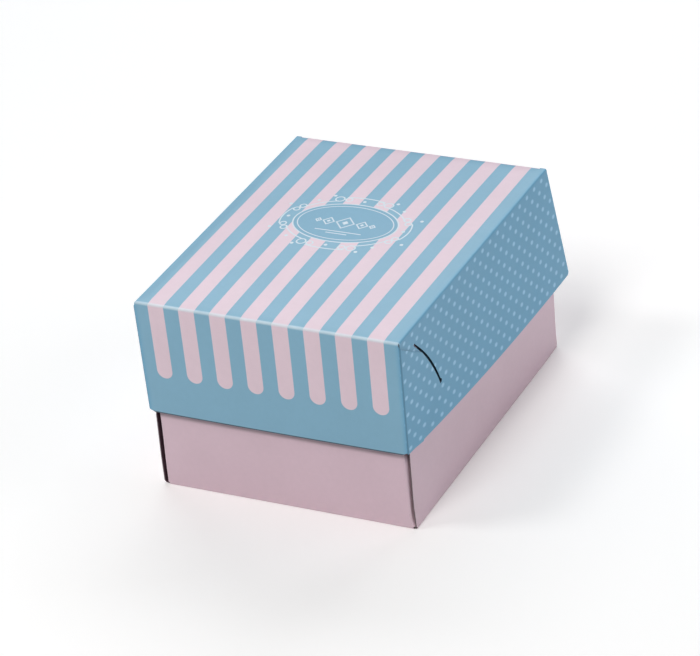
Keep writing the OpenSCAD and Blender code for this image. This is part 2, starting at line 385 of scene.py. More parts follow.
def stripe_mask(finish, across, up):
    """The stripes: they end round, some way below the fold between the top and the front."""
    side = nearest(finish, across, STRIPE_PITCH)
    end = STRIPE_WIDTH / 2 - STRIPE_DROP
    below = finish.math("MAXIMUM", finish.math("SUBTRACT", end, up), 0.0)
    stripe = finish.step(finish.distance(side, below), STRIPE_WIDTH / 2)
    inside = finish.band(across, 0.0, STRIPE_PITCH * STRIPE_COUNT / 2)
    return finish.math("MULTIPLY", stripe, inside)


def dot_mask(finish, across, up):
    """Dots in staggered rows, half a pitch apart."""
    near = [
        finish.distance(
            finish.math("DIVIDE", nearest(finish, across, DOT_PITCH[0], shift), DOT_HALF[0]),
            finish.math("DIVIDE", nearest(finish, up, DOT_PITCH[1], shift), DOT_HALF[1]))
        for shift in (0.0, 0.5)
    ]
    return finish.step(finish.math("MINIMUM", *near), 1.0, DOT_SOFT)


def either(finish, masks):
    found = masks[0]
    for mask in masks[1:]:
        found = finish.math("MAXIMUM", found, mask)
    return found


def outline(finish, value, edge, width=PEN):
    """A drawn line along the places where value is edge."""
    return finish.band(value, edge, width / 2)


def oval_mask(finish, across, up, grow):
    wide, high = LABEL_HALF[0] + grow, LABEL_HALF[1] + grow
    reach = finish.distance(finish.math("DIVIDE", across, wide), finish.math("DIVIDE", up, high))
    return finish.step(reach, 1.0, PRINT_EDGE / high)


def label_masks(finish, across, up):
    """The oval on the top, and the pale drawing on and round it: lace, rules and lozenges."""
    x = finish.math("SUBTRACT", across, LABEL_AT[0])
    y = finish.math("SUBTRACT", up, LABEL_AT[1])
    wide, high = finish.math("ABSOLUTE", x), finish.math("ABSOLUTE", y)

    def from_place(place_x, place_y):
        away_x = finish.math("SUBTRACT", wide, place_x)
        return finish.distance(away_x, finish.math("SUBTRACT", high, place_y))

    def past(angle):
        turn = math.radians(angle)
        side = finish.math("MULTIPLY", wide, math.sin(turn) / LABEL_HALF[0])
        ahead = finish.math("MULTIPLY_ADD", high, -math.cos(turn) / LABEL_HALF[1], side)
        return finish.step(ahead, 0.0, 0.01)

    def line(grow, width=PEN):
        outer = oval_mask(finish, x, y, grow + width)
        return finish.math("SUBTRACT", outer, oval_mask(finish, x, y, grow))

    drawn = [line(0.0), line(*INNER_LINE)]
    for grow, first, last in SCROLLS:
        part = finish.math("SUBTRACT", past(first), past(last))
        drawn.append(finish.math("MULTIPLY", line(grow), part))
    drawn += [outline(finish, from_place(*place), radius) for *place, radius in CURLS]
    drawn += [finish.step(from_place(*place), PEARL_RADIUS) for place in PEARLS]
    for place, half_wide, half_high in LOZENGES:
        away = finish.math("ABSOLUTE", finish.math("SUBTRACT", wide, place))
        share_wide = finish.math("DIVIDE", away, half_wide)
        slope = finish.math("ADD", share_wide, finish.math("DIVIDE", high, half_high))
        drawn.append(outline(finish, slope, 1.0, LOZENGE_PEN / half_wide))
        drawn.append(finish.step(slope, LOZENGE_HEART))
    for drop, half_wide in RULES:
        rule = outline(finish, y, -drop, RULE_PEN)
        drawn.append(finish.math("MULTIPLY", rule, finish.step(wide, half_wide)))
    return oval_mask(finish, x, y, 0.0), either(finish, drawn)


def coat(finish, colour):
    """Coated board: a thin gloss over ink on paper whose grain hardly shows."""
    broad = finish.math("MULTIPLY", finish.noise(BROAD_MOTTLE[0], 3), BROAD_MOTTLE[1])
    mottle = finish.math("MULTIPLY_ADD", finish.noise(FINE_MOTTLE[0], 2), FINE_MOTTLE[1], broad)
    tone = finish.spread(mottle, *COAT_TONE)
    gloss = finish.spread(finish.noise(260, 4), *COAT_ROUGH)
    finish.surface(finish.mix(1.0, colour, tone, "MULTIPLY"), gloss, COAT_SPECULAR)
    finish.shader.inputs["Coat Weight"].default_value = CLEAR_COAT
    finish.shader.inputs["Coat Roughness"].default_value = CLEAR_COAT_ROUGH
    finish.bump(finish.noise(900, 3, (1, 2.4, 1)), 0.04 * MM, 0.5)
    return finish.material


BLUE = linear(130, 178, 203)
# The sides' blue is the top's ink made darker: painted shade
SHADED_SIDE_BLUE = linear(104, 168, 203)
# Painted shade along the corner's crease
CREASE_SHADE_BLUE = linear(88, 140, 170)
LABEL_BLUE = linear(122, 172, 199)
# Painted shadow line at the lid's rim
RIM_SHADOW_BLUE = linear(62, 84, 100)
PINK = linear(229, 206, 217)
BASE_PINK = linear(220, 193, 205)
DOT_PALE = linear(154, 205, 235)
PALE = linear(214, 226, 234)
# Crease wear with a painted highlight, on the front fold
CRACKED_AND_HIGHLIT = linear(226, 242, 250)
# Painted shadow under the lid's rim, and painted shade on the base's corner flaps
RIM_SHADOW_PINK = linear(84, 66, 76)


def striped_board():
    """The lid's top and front: stripes and label, crease wear with a painted highlight at the front
    fold, painted shade before the side folds and a painted shadow line at the rim.
    """
    finish = Finish("striped_board")
    across, up = finish.print_place()
    ground, drawing = label_masks(finish, across, up)
    printed = finish.mix(stripe_mask(finish, across, up), BLUE, PINK)
    printed = finish.mix(ground, printed, LABEL_BLUE)
    printed = finish.mix(drawing, printed, PALE)
    # Painted shade: the top turns to the sides' shaded blue before the side folds
    clear_of_side_shade = finish.step(finish.math("ABSOLUTE", across), SIDE_SHADE_AT, SIDE_SHADE_SOFT)
    printed = finish.mix(clear_of_side_shade, SHADED_SIDE_BLUE, printed)
    # Crease wear with a painted highlight along the front fold
    worn_and_highlit = finish.patchy(finish.band(up, *FOLD_WEAR_AND_HIGHLIGHT), *FOLD_WEAR_AND_HIGHLIGHT_PATCHES)
    printed = finish.mix(worn_and_highlit, printed, CRACKED_AND_HIGHLIT)
    # Painted shadow line at the rim
    rim_shadow_line = finish.step(finish.math("ADD", up, SKIRT / MM), RIM_SHADOW_LINE, RIM_SHADOW_SOFT)
    return coat(finish, finish.mix(rim_shadow_line, printed, RIM_SHADOW_BLUE))


def dotted_board():
    """The lid's sides and their flaps, with painted shade along the corner's crease."""
    finish = Finish("dotted_board")
    across, up = finish.print_place()
    printed = finish.mix(dot_mask(finish, across, up), SHADED_SIDE_BLUE, DOT_PALE)
    return coat(finish, finish.mix(finish.band(across, *CORNER_CREASE_SHADE), printed, CREASE_SHADE_BLUE))


def pink_board():
    finish = Finish("pink_board")
    return coat(finish, BASE_PINK)


def rim_shadow_board():
    """The base's front, with a soft band of painted shadow under the lid's rim, and its
    corner flaps, with painted shade in the gap by the rim."""
    finish = Finish("rim_shadow_board")
    across, up = finish.print_place()
    # Painted shadow band under the lid's rim, and painted shade on the corner flaps by it
    rim_shadowed = finish.patchy(finish.band(up, *RIM_SHADOW_BAND), *RIM_SHADOW_PATCHES)
    on_flap = finish.math("GREATER_THAN", across, FLAP_SHADE_FROM)
    flap_shade = finish.math("MULTIPLY", finish.math("MULTIPLY", on_flap, FLAP_SHADE_STRENGTH),
                        finish.band(up, *FLAP_SHADE_BAND))
    return coat(finish, finish.mix(finish.math("MAXIMUM", rim_shadowed, flap_shade), BASE_PINK, RIM_SHADOW_PINK))


def bare_board():
    """The unprinted side of the sheet."""
    finish = Finish("bare_board")
    fibres = finish.noise(420, 5, (1, 3, 1))
    finish.surface(finish.mix(fibres, linear(226, 222, 214), linear(240, 237, 231)), 0.82)
    finish.bump(finish.noise(1500, 4), 0.05 * MM, 0.6)
    return finish.material


def raw_edge(name, dark, light):
    """The cut edge of the board, where its layers of pulp show."""
    finish = Finish(name)
    layers = finish.noise(2600, 2, (1, 1, 6))
    finish.surface(finish.mix(layers, dark, light), 0.9)
    finish.bump(layers, 0.04 * MM, 0.5)
    return finish.material


def painted_shade_board(name, colour):
    """A dark board of painted shade, where board lies hidden and shows only as the dark line of a
    gap.
    """
    finish = Finish(name)
    finish.surface(colour, 0.85, 0.2)
    return finish.material


INSIDE = bare_board()
BLUE_EDGE = raw_edge("raw_edge_blue", linear(92, 118, 136), linear(120, 144, 160))
PINK_EDGE = raw_edge("raw_edge_pink", linear(104, 90, 96), linear(134, 120, 126))
# Dark boards of painted shade for narrow gaps
SHADE_BLUE = painted_shade_board("painted_shade_blue", linear(44, 62, 76))
SHADE_PINK = painted_shade_board("painted_shade_pink", linear(98, 72, 84))

# Each print's printed face, cut edge, and dark board of painted shade for its gaps
PRINT = {
    "striped": (striped_board(), BLUE_EDGE, SHADE_BLUE),
    "dotted": (dotted_board(), BLUE_EDGE, SHADE_BLUE),
    "pink": (pink_board(), PINK_EDGE, SHADE_PINK),
    "rim_shadowed": (rim_shadow_board(), PINK_EDGE, SHADE_PINK),
}


# Cutting the board flat: X runs across a panel, Y up it, and the printed face is at Z = 0


def stations(start, stop, step=MESH_STEP):
    count = max(1, math.ceil((stop - start) / step))
    return [start + (stop - start) * k / count for k in range(count + 1)]


def fold_stations(start, stop):
    return [start + (stop - start) * k / FOLD_STEPS for k in range(FOLD_STEPS + 1)]


def joined(*runs):
    """Stations of several runs in a row, with each shared end once."""
    found = []
    for run in runs:
        found += [x for x in run if not found or abs(x - found[-1]) > 1e-7]
    return found


def board(name, columns, rows):
    """A flat sheet with a mesh line at each column and row."""
    deselect_all()
    bpy.ops.mesh.primitive_grid_add(
        x_subdivisions=len(columns) - 1, y_subdivisions=len(rows) - 1, size=1)
    piece = bpy.context.object
    piece.name = name
    for vertex in piece.data.vertices:
        column = round((vertex.co.x + 0.5) * (len(columns) - 1))
        row = round((vertex.co.y + 0.5) * (len(rows) - 1))
        vertex.co = (columns[column], rows[row], 0)
    return piece


def apply(piece, modifier):
    make_active(piece)
    bpy.ops.object.modifier_apply(modifier=modifier.name)


def thicken(piece):
    """Gives the sheet its thickness, behind the printed face."""
    wall = piece.modifiers.new("thickness", "SOLIDIFY")
    wall.thickness = BOARD
    wall.offset = -1
    wall.use_even_offset = False
    apply(piece, wall)


def face_outwards():
    """Turns the faces of the mesh in edit mode outwards, and leaves edit mode."""
    bpy.ops.mesh.select_all(action="SELECT")
    bpy.ops.mesh.normals_make_consistent(inside=False)
    bpy.ops.object.mode_set(mode="OBJECT")


def die(outline):
    """A cutting die: the outline, pulled out well past both faces of the board."""
    deselect_all()
    bpy.ops.mesh.primitive_circle_add(vertices=len(outline), fill_type="NGON")
    tool = bpy.context.object
    for vertex, place in zip(tool.data.vertices, outline):
        vertex.co = (place[0], place[1], -DIE_REACH)
    bpy.ops.object.mode_set(mode="EDIT")
    bpy.ops.mesh.select_all(action="SELECT")
    bpy.ops.mesh.extrude_region_move(TRANSFORM_OT_translate={"value": (0, 0, 2 * DIE_REACH)})
    face_outwards()
    return tool


def stamp(piece, outline, operation="DIFFERENCE"):
    """Cuts the board with a die: DIFFERENCE cuts its outline out, and INTERSECT keeps only that."""
    tool = die(outline)
    cut = piece.modifiers.new("cut", "BOOLEAN")
    cut.operation = operation
    cut.solver = "EXACT"
    cut.object = tool
    apply(piece, cut)
    bpy.data.objects.remove(tool)


def arc(centre, radius, start, stop, steps):
    """Places on an arc, from one angle to another, both counted from the X axis."""
    turns = [start + (stop - start) * k / steps for k in range(steps + 1)]
    return [(centre[0] + radius * math.cos(t), centre[1] + radius * math.sin(t)) for t in turns]


def ink(piece, name, shift=(0, 0), shaded=None):
    """Gives the flat board its print map in millimetres, and its finishes: printed, bare inside,
    cut edge, and painted shade where shaded says so."""
    mesh = piece.data
    while mesh.uv_layers:
        mesh.uv_layers.remove(mesh.uv_layers[0])
    sheet = mesh.uv_layers.new(name="print")
    for loop in mesh.loops:
        place = mesh.vertices[loop.vertex_index].co
        sheet.data[loop.index].uv = ((place.x + shift[0]) / MM, (place.y + shift[1]) / MM)
    mesh.materials.clear()
    printed, edge, painted_shade = PRINT[name]
    for material in (printed, INSIDE, edge, *([painted_shade] if shaded else [])):
        mesh.materials.append(material)
    for face in mesh.polygons:
        x, y, depth = face.center.x, face.center.y, face.center.z / BOARD
        face.material_index = 0 if on_print(depth) else 1 if on_inside(depth) else 2
        if shaded and shaded(x, y, depth):
            face.material_index = 3


def on_print(depth):
    """Whether a depth, as a share of the board's thickness, is on its printed face."""
    return depth > -ON_FACE


def on_inside(depth):
    return depth < ON_FACE - 1


def lay(piece, place, body, nodes):
    """Folds the flat board to its place on the box, and says what it rides on and stands for."""
    for vertex in piece.data.vertices:
        vertex.co = place(vertex.co.x, vertex.co.y, vertex.co.z)
    make_active(piece)
    bpy.ops.object.shade_smooth_by_angle(angle=SMOOTH_ANGLE)
    if body:
        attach(piece, body)
    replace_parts(piece, *nodes)


def mirrored(piece, name, axes, body, nodes):
    """A copy of a piece on the other side of the box."""
    make_active(piece)
    bpy.ops.object.duplicate()
    copy = bpy.context.object
    copy.name = name
    copy.parent = None
    copy.data.transform(Matrix.Diagonal((*axes, 1)))
    if axes[0] * axes[1] < 0:
        copy.data.flip_normals()
    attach(copy, body)
    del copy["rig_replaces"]
    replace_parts(copy, *nodes)
    return copy


# Places on the folded box


def hump(share):
    """0 at both ends of a span from -1 to 1, and 1 in its middle."""
    return max(0.0, 1 - share * share)


def smooth(share):
    """0 up to 0, 1 from 1 on, and a soft rise between."""
    share = min(1.0, max(0.0, share))
    return share * share * (3 - 2 * share)


def spring_out(s):
    """How far the rim of the lid's side stands out, s behind the front corner."""
    rest = 1 - s / SIDE_LEN
    return FLARE * (1 - rest * rest) - DRAW_IN * rest ** 4


def lean(s):
    return math.asin(spring_out(s) / (SKIRT - FOLD_R))


def on_lid(s, h, out):
    """A point on the lid's right side, h below the top and out beyond its printed face."""
    turn = lean(s)
    reach = FOLD_R + out
    return Vector((
        LID_X - FOLD_R + reach * math.cos(turn) + (h - FOLD_R) * math.sin(turn),
        s - LID_Y,
        BOX_H - FOLD_R + reach * math.sin(turn) - (h - FOLD_R) * math.cos(turn),
    ))


def corner_x(h):
    """Half width of the lid's front, h below the top."""
    return on_lid(FOLD_R, h, PLAY + BOARD).x - FOLD_R


def settle(place):
    """The lid as it sits: its top is crowned, with rounded shoulders, and its front leans."""
    place = Vector(place)
    behind = place.y + LID_Y
    crown = TOP_CROWN * hump(place.x / (LID_X - FOLD_R)) * hump(2 * behind / SIDE_LEN - 1)
    to_side = smooth((LID_X - FOLD_R - abs(place.x)) / SHOULDER_RUN)
    to_ends = smooth(behind / SHOULDER_RUN) * smooth((SIDE_LEN - behind) / SHOULDER_RUN)
    crown += SHOULDER * to_side * to_ends
    lean_back = LEAN_IN - (LEAN_IN + LEAN_OUT) * (BOX_H - place.z) / SKIRT
    return place + Vector((0, lean_back * (1 - smooth(behind / LEAN_RUN)), crown))


def on_side(x, y, out):
    """A place on the lid's right side as it sits, from its place on the flat side."""
    return settle(on_lid(x, -y, out))


def wall_bow(share, height, top):
    """How far a wall of the base bows out, at a share of its half length and a height."""
    return WALL_BOW * hump(share) * math.sin(math.pi * smooth(height / top))


def end_bulge(height):
    """How far the base's ends stand out of their planes at a height."""
    if height < RIM_Z:
        return END_OUT * smooth(height / RIM_Z)
    return END_OUT - (END_OUT + END_IN) * smooth((height - RIM_Z) / (WALL_TOP - RIM_Z))


def corner_in(side, height):
    """How far a corner fold of the front stands in, on its right side (1) or its left (-1)."""
    foot, top, rise = CORNER_IN[side]
    return foot + (top - foot) * smooth(height / rise)


def edge_curl(side, place, height):
    """How far a side wall stands out by its free edges, at a place along it."""
    foot, top, rise = EDGE_CURL[side, 1 if place > 0 else -1]
    near = 1 - smooth((BASE_Y - abs(place)) / CURL_RUN)
    under = 1 - smooth((height - (RIM_Z - CURL_FADE)) / CURL_FADE) if top > 0 else 1
    return (foot + (top - foot) * smooth(height / rise)) * near * under


# Slits and the flaps that use them


def bow_at(lock, along):
    """How far the slit's arc stands off its chord."""
    radius = (lock["length"] ** 2 / 4 + lock["bow"] ** 2) / (2 * lock["bow"])
    run = min(lock["length"], max(0.0, along)) - lock["length"] / 2
    return math.sqrt(radius * radius - run * run) - (radius - lock["bow"])


def by_slit(lock, along, beyond):
    """A place by a slit, as distance from the corner and height over the top."""
    rise = bow_at(lock, along) + beyond
    tilt = math.radians(lock["tilt"])
    return (lock["s"] + along * math.cos(tilt) + rise * math.sin(tilt),
            -(lock["h"] + along * math.sin(tilt) - rise * math.cos(tilt)))


def beyond_slit(lock, x, y):
    """How far past a slit a place on a flap lies."""
    tilt = math.radians(lock["tilt"])
    s, h = x - lock["s"], -y - lock["h"]
    along = min(lock["length"], max(0.0, s * math.cos(tilt) + h * math.sin(tilt)))
    return s * math.sin(tilt) - h * math.cos(tilt) - bow_at(lock, along)


def layer_at(lock, x, y, first, last):
    """The layer that a flap lies in at a place: first before the slit, and last beyond it."""
    return first + (last - first) * smooth((beyond_slit(lock, x, y) / RAMP + 1) / 2)


def slit_outline(lock, gape=0.0):
    """A curved slit with round ends, which widens by gape on its way down."""
    def cap(centre, side):
        turns = [math.pi * k / CAP_STEPS for k in range(1, CAP_STEPS)]
        return [
            by_slit(lock, centre + side * RAMP * math.sin(t), side * RAMP * math.cos(t))
            for t in turns]

    along = [lock["length"] * k / SLIT_STEPS for k in range(SLIT_STEPS + 1)]
    return [
        *(by_slit(lock, a, RAMP + gape * smooth(a / (GAPE_RUN * lock["length"]))) for a in along),
        *cap(lock["length"], 1),
        *(by_slit(lock, a, -RAMP) for a in reversed(along)), *cap(0, -1),
    ]


def flap_sheet(name, lock, edge_foot, tops, low):
    """A corner flap and its ear as one sheet, meshed along its fold and along the slit.

    edge_foot is the flap's far lower corner. tops are the heights of the fold's near and far
    upper corners, and low that of its foot.
    """
    start, stop = lock["span"]
    ends, hook = lock["ends"], lock["hook"]
    swing, middle = (stop - start) / 2, (stop + start) / 2
    turns = [math.pi * k / FLAP_ROWS for k in range(FLAP_ROWS + 1)]
    along = [middle - swing * math.cos(t) for t in turns]
    tips = [ends + (lock["reach"] - ends) * math.sin(t) for t in turns]
    edge = [Vector(by_slit(lock, a, -RAMP)) for a in along]
    end, foot = edge[-1], Vector(edge_foot)
    edge += [end.lerp(foot, k / FOOT_ROWS) for k in range(1, FOOT_ROWS + 1)]
    rows = FLAP_ROWS + FOOT_ROWS
    ear_from = FOLD_STEPS + BODY_STEPS
    columns = ear_from + CROSS_STEPS + EAR_STEPS

    def fold_spot(step, row):
        high = tops[0] + (tops[1] - tops[0]) * step / FOLD_STEPS
        return FOLD_R * (2 * step / FOLD_STEPS - 1), high + (low - high) * row / rows

    def body_spot(step, row):
        corner = Vector((FOLD_R, tops[1] + (low - tops[1]) * row / rows))
        return corner.lerp(edge[row], step / BODY_STEPS)

    def ear_spot(step, row):
        row = min(row, FLAP_ROWS)
        if step <= CROSS_STEPS:
            return by_slit(lock, along[row], RAMP * (2 * step / CROSS_STEPS - 1))
        beyond = RAMP + (tips[row] - RAMP) * (step - CROSS_STEPS) / EAR_STEPS
        down = row / FLAP_ROWS
        widen = EAR_TOE * hook * down ** 3 - hook * (1 - down)
        opened = hump(1 - min(1.0, (step - CROSS_STEPS) / 2))
        return by_slit(lock, along[row] + widen * opened, beyond)

    piece = board(name, range(columns + 1), range(rows + 1))
    for vertex in piece.data.vertices:
        column, row = round(vertex.co.x), round(vertex.co.y)
        if column <= FOLD_STEPS:
            spot = fold_spot(column, row)
        elif column <= ear_from:
            spot = body_spot(column - FOLD_STEPS, row)
        else:
            spot = ear_spot(column - ear_from, row)
        vertex.co = (spot[0], spot[1], 0)

    # The ear has no rows beside the flap's foot
    make_active(piece)
    bpy.ops.object.mode_set(mode="EDIT")
    bpy.ops.mesh.select_all(action="DESELECT")
    bpy.ops.object.mode_set(mode="OBJECT")
    for face in piece.data.polygons:
        row, column = divmod(face.index, columns)
        face.select = row >= FLAP_ROWS and column >= ear_from
    bpy.ops.object.mode_set(mode="EDIT")
    bpy.ops.mesh.delete(type="FACE")
    face_outwards()
    if sum(face.normal.z for face in piece.data.polygons) < 0:
        piece.data.flip_normals()
    thicken(piece)
    return piece


# The pieces of the lid


def lid_top():
    """The top with the folds to both sides. Its print counts up from the front fold."""
    plate = LID_X - FOLD_R
    wrap = 2 * FOLD_R
    front, rear = FOLD_R, SIDE_LEN
    notch = NOTCH_Y + LID_Y
    near = plate - SHOULDER_RUN
    columns = joined(
        fold_stations(-plate - wrap, -plate), stations(-plate, -near, EDGE_STEP),
        stations(-near, near),
        stations(near, plate, EDGE_STEP), fold_stations(plate, plate + wrap))
    rows = joined(
        stations(front, front + SHOULDER_RUN, EDGE_STEP),
        stations(front + SHOULDER_RUN, rear - SHOULDER_RUN),
        stations(rear - SHOULDER_RUN, rear, EDGE_STEP))
    piece = board("lid_top_panel", columns, rows)
    thicken(piece)
    past = rear + RAMP
    stamp(piece, [(-NOTCH_X, notch), (NOTCH_X, notch), (NOTCH_X, past), (-NOTCH_X, past)])
    ink(piece, "striped")

    def place(x, y, out):
        beyond = abs(x) - plate
        if beyond <= 0:
            return settle((x, y - LID_Y, BOX_H + out))
        turn = beyond / wrap * (math.pi / 2 - lean(y))
        reach = FOLD_R + out
        side = math.copysign(plate + reach * math.sin(turn), x)
        return settle((side, y - LID_Y, BOX_H - FOLD_R + reach * math.cos(turn)))

    lay(piece, place, "lid", ["lid_top"])


def lid_front():
    """The front with its fold to the top. Its print goes on below that fold."""
    half = corner_x(FOLD_R)
    columns = stations(-half, half)
    rows = joined(stations(-SKIRT, -FOLD_R), fold_stations(-FOLD_R, FOLD_R))
    piece = board("lid_front_panel", columns, rows)
    thicken(piece)
    low, past = -SKIRT - RAMP, half + RAMP
    for side in (-1, 1):
        stamp(piece, [
            (side * (half - RIM_NIP_W), low), (side * past, low),
            (side * past, -SKIRT + RIM_NIP_H), (side * half, -SKIRT + RIM_NIP_H),
            (side * (half - RIM_NIP_W), -SKIRT)])
    ink(piece, "striped")

    def place(x, y, out):
        if y > -FOLD_R:
            turn = math.pi / 4 * (1 + y / FOLD_R)
            reach = FOLD_R + out
            ahead = FOLD_R - LID_Y - reach * math.cos(turn)
            return settle((x, ahead, BOX_H - FOLD_R + reach * math.sin(turn)))
        width = corner_x(-y) / half
        bow = FRONT_BOW * hump(x / half) * smooth((-y - FOLD_R) / (SKIRT - FOLD_R))
        return settle((x * width, -LID_Y - out - bow, BOX_H + y))

    lay(piece, place, "lid", ["lid_front"])


def shade_in_lid_slit(x, y, depth):
    """Whether a cut edge of the lid's side lies in its slit, where it gets painted shade."""
    (near, far), (low, high) = SLIT_SHADE_ZONE
    edge = not on_print(depth) and not on_inside(depth)
    return edge and near < x < far and low < y < high


def lid_sides():
    """The sides, held by the lock in front and free to spring out behind."""
    start = FOLD_R + PLAY
    rear = SIDE_LEN + REAR_RAKE
    piece = board("lid_right_side_panel", stations(start, rear), stations(-SKIRT, -FOLD_R))
    thicken(piece)
    rear_top = SIDE_LEN + REAR_RAKE * FOLD_R / SKIRT
    corner = (rear - REAR_CORNER, -SKIRT + REAR_CORNER)
    stamp(piece, [
        (start - RAMP, RAMP), (start - RAMP, -SKIRT - RAMP), (corner[0], -SKIRT - RAMP),
        *arc(corner, REAR_CORNER, -math.pi / 2, 0, ROUND_STEPS),
        (rear_top, -FOLD_R), (rear_top, RAMP)], "INTERSECT")
    stamp(piece, slit_outline(LID_LOCK, SLIT_GAPE))
    hole = by_slit(LID_LOCK, HOLE_ALONG, HOLE_BEYOND)
    stamp(piece, arc(hole, SLIT_HOLE, 0, 2 * math.pi, HOLE_STEPS)[:-1])
    ink(piece, "dotted", SIDE_SHIFT, shade_in_lid_slit)
    lay(piece, on_side, "lid", ["lid_right_side"])
    mirrored(piece, "lid_left_side_panel", (-1, 1, 1), "lid", ["lid_left_side"])


def lid_flaps():
    """The front's corner flaps, outside the sides, with their ears in through the slits."""
    piece = flap_sheet(
        "lid_right_corner_flap", LID_LOCK, (FLAP_FOOT, -SKIRT), (-FOLD_DROP, -FLAP_DROP),
        -SKIRT + RIM_NIP_H)

    # The ear's face behind the side gets painted shade: it shows only through the slit
    def shade_behind_side(x, y, depth):
        return beyond_slit(LID_LOCK, x, y) > 0 and not on_inside(depth)

    ink(piece, "dotted", FLAP_SHIFT, shade_behind_side)

    def place(x, y, out):
        if x < FOLD_R:
            turn = math.pi / 4 * (1 + x / FOLD_R)
            reach = FOLD_R + out
            centre = on_lid(FOLD_R, -y, PLAY + BOARD)
            ahead = Vector((reach * math.sin(turn) - FOLD_R, -reach * math.cos(turn), 0))
            return settle(centre + ahead)
        layer = layer_at(LID_LOCK, x, y, PLAY + BOARD, -BOARD - PLAY)
        dip = EAR_DIP * hump((beyond_slit(LID_LOCK, x, y) - DIP_AT) / DIP_HALF)
        return settle(on_lid(x, -y, layer - dip + out))

    lay(piece, place, "lid", ["lid_right_flap"])
    mirrored(piece, "lid_left_corner_flap", (-1, 1, 1), "lid", ["lid_left_flap"])


# The pieces of the base


def base_bottom():
    """The bottom with the folds to its four walls."""
    plate_x, plate_y = BASE_X - FOLD_R, BASE_Y - FOLD_R
    wrap = 2 * FOLD_R
    columns = joined(
        fold_stations(-plate_x - wrap, -plate_x), stations(-plate_x, plate_x),
        fold_stations(plate_x, plate_x + wrap))
    rows = joined(
        fold_stations(-plate_y - wrap, -plate_y), stations(-plate_y, plate_y),
        fold_stations(plate_y, plate_y + wrap))
    piece = board("tray_bottom_panel", columns, rows)
    thicken(piece)
    past_x, past_y = plate_x + 2 * wrap, plate_y + 2 * wrap
    for side in (-1, 1):
        for end in (-1, 1):
            half = WALL_HALF - corner_in(side * end, 0)
            stamp(piece, [
                (side * half, end * past_y), (side * past_x, end * past_y),
                (side * past_x, end * plate_y), (side * half, end * plate_y)])

    # Painted shade in the gaps at the front corners
    def shade_in_corner_gap(x, y, depth):
        reach = 0 if on_inside(depth) else BOTTOM_SHADE_ZONE
        return y > plate_y - BOTTOM_SHADE_ZONE and not on_print(depth) and abs(x) > plate_x - reach

    ink(piece, "pink", shaded=shade_in_corner_gap)

    def fold(reach, beyond, out):
        turn = beyond / wrap * math.pi / 2
        height = FOLD_R - (FOLD_R + out) * math.cos(turn)
        return reach + (FOLD_R + out) * math.sin(turn), height

    def place(x, y, out):
        if abs(x) > plate_x:
            side, height = fold(plate_x, abs(x) - plate_x, out)
            curl = edge_curl(1 if x > 0 else -1, -y, 0)
            side += curl * smooth((abs(x) - plate_x) / wrap)
            return (math.copysign(side, x), -y, height)
        if abs(y) > plate_y:
            end, height = fold(plate_y, abs(y) - plate_y, out)
            return (x, -math.copysign(end, y), height)
        return (x, -y, -out)

    lay(piece, place, "base", ["base_bottom"])


def base_ends():
    """The front and back walls, cut square."""
    for name, node, top, end, print_name in (
        ("tray_front_panel", "base_front_wall", WALL_TOP, -1, "rim_shadowed"),
        ("tray_back_panel", "base_back_wall", BACK_TOP, 1, "pink"),
    ):
        piece = board(name, stations(-WALL_HALF, WALL_HALF), stations(FOLD_R, top))
        thicken(piece)
        ink(piece, print_name)

        def place(x, y, out):
            share = x / WALL_HALF
            x -= share * corner_in(1 if x > 0 else -1, y)
            bow = wall_bow(share, y - FOLD_R, top - FOLD_R) + end_bulge(y)
            return (-end * x, end * (BASE_Y + out + bow), y)

        lay(piece, place, "base", [node])


def base_sides():
    """The side walls, with raked free ends and a slit for each corner flap's ear."""
    foot, corner = BASE_Y - FOLD_R, BASE_Y - WALL_FOOT
    knee = 2 * FOLD_R - WALL_FOOT
    half = [(foot, FOLD_R), (corner, knee), (corner - WALL_RAKE, WALL_TOP)]
    for hand, side in (("right", 1), ("left", -1)):
        piece = board(f"tray_{hand}_panel", stations(-corner, corner), stations(FOLD_R, WALL_TOP))
        thicken(piece)
        stamp(piece, half + [(-x, y) for x, y in reversed(half)], "INTERSECT")
        for end in (-1, 1):
            stamp(piece, [(-end * (x - BASE_Y), y + BOX_H) for x, y in slit_outline(TRAY_LOCK)])

        # Painted shade on the left wall's inside by its front end, below the rim
        def shade_in_corner_gap(x, y, depth):
            return side < 0 and x > BASE_Y - WALL_SHADE_ZONE and y < RIM_Z and on_inside(depth)

        ink(piece, "pink", shaded=shade_in_corner_gap)

        def place(x, y, out):
            bow = wall_bow(x / corner, y - FOLD_R, WALL_TOP - FOLD_R)
            return (side * (BASE_X + out + edge_curl(side, side * x, y) + bow), side * x, y)

        lay(piece, place, "base", [f"base_{hand}_wall"])


